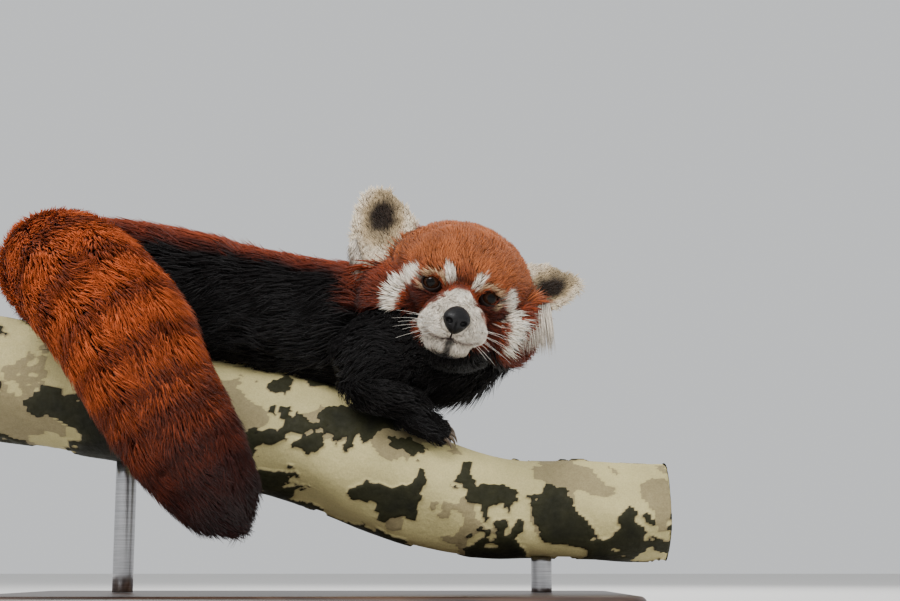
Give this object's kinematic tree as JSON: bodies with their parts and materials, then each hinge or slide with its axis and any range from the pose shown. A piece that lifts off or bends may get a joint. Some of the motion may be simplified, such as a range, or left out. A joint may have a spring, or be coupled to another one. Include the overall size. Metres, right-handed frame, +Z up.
{
  "type": "red panda model",
  "caption": "Life-size still model of a red panda lying along a cut length of tree limb, looking out to one side, its ringed tail hanging, on a plain display stand.",
  "frame": {"origin": "on the underside of the stand's base, below the middle of the limb's cut length; the base itself lies 12 mm nearer the animal's right side", "axes": "+Z up, +X along the limb towards the animal's chest, -Y towards the animal's right side, which its face looks out to"},
  "size_m": [0.544, 0.3186, 0.3322],
  "materials": {
    "base": "dark stained wood, satin",
    "rod": "brushed",
    "bark": "flaking plane-tree bark in pale tan and olive grey plates, bare wood at the cut ends",
    "red_fur": "dense rusty red-brown fur",
    "black_fur": "dense black fur",
    "pale_fur": "cream white fur",
    "eye": "glossy, very dark brown",
    "nose": "moist, finely pebbled"
  },
  "bodies": {
    "root": {"stand_base": "base", "stand_rod_left": "rod", "stand_rod_right": "rod", "perch_branch": "bark", "head": "red_fur", "nose": "nose", "neck": "red_fur", "torso": "red_fur", "tail_1": "red_fur", "tail_2": "red_fur", "tail_3": "red_fur", "tail_4": "red_fur", "eye_right": "eye", "ear_right": "pale_fur", "foreleg_right": "black_fur", "forepaw_right": "black_fur", "hindleg_right": "black_fur", "hindpaw_right": "black_fur", "eye_left": "eye", "ear_left": "pale_fur", "foreleg_left": "black_fur", "forepaw_left": "black_fur", "hindleg_left": "black_fur", "hindpaw_left": "black_fur"}
  },
  "joints": []
}
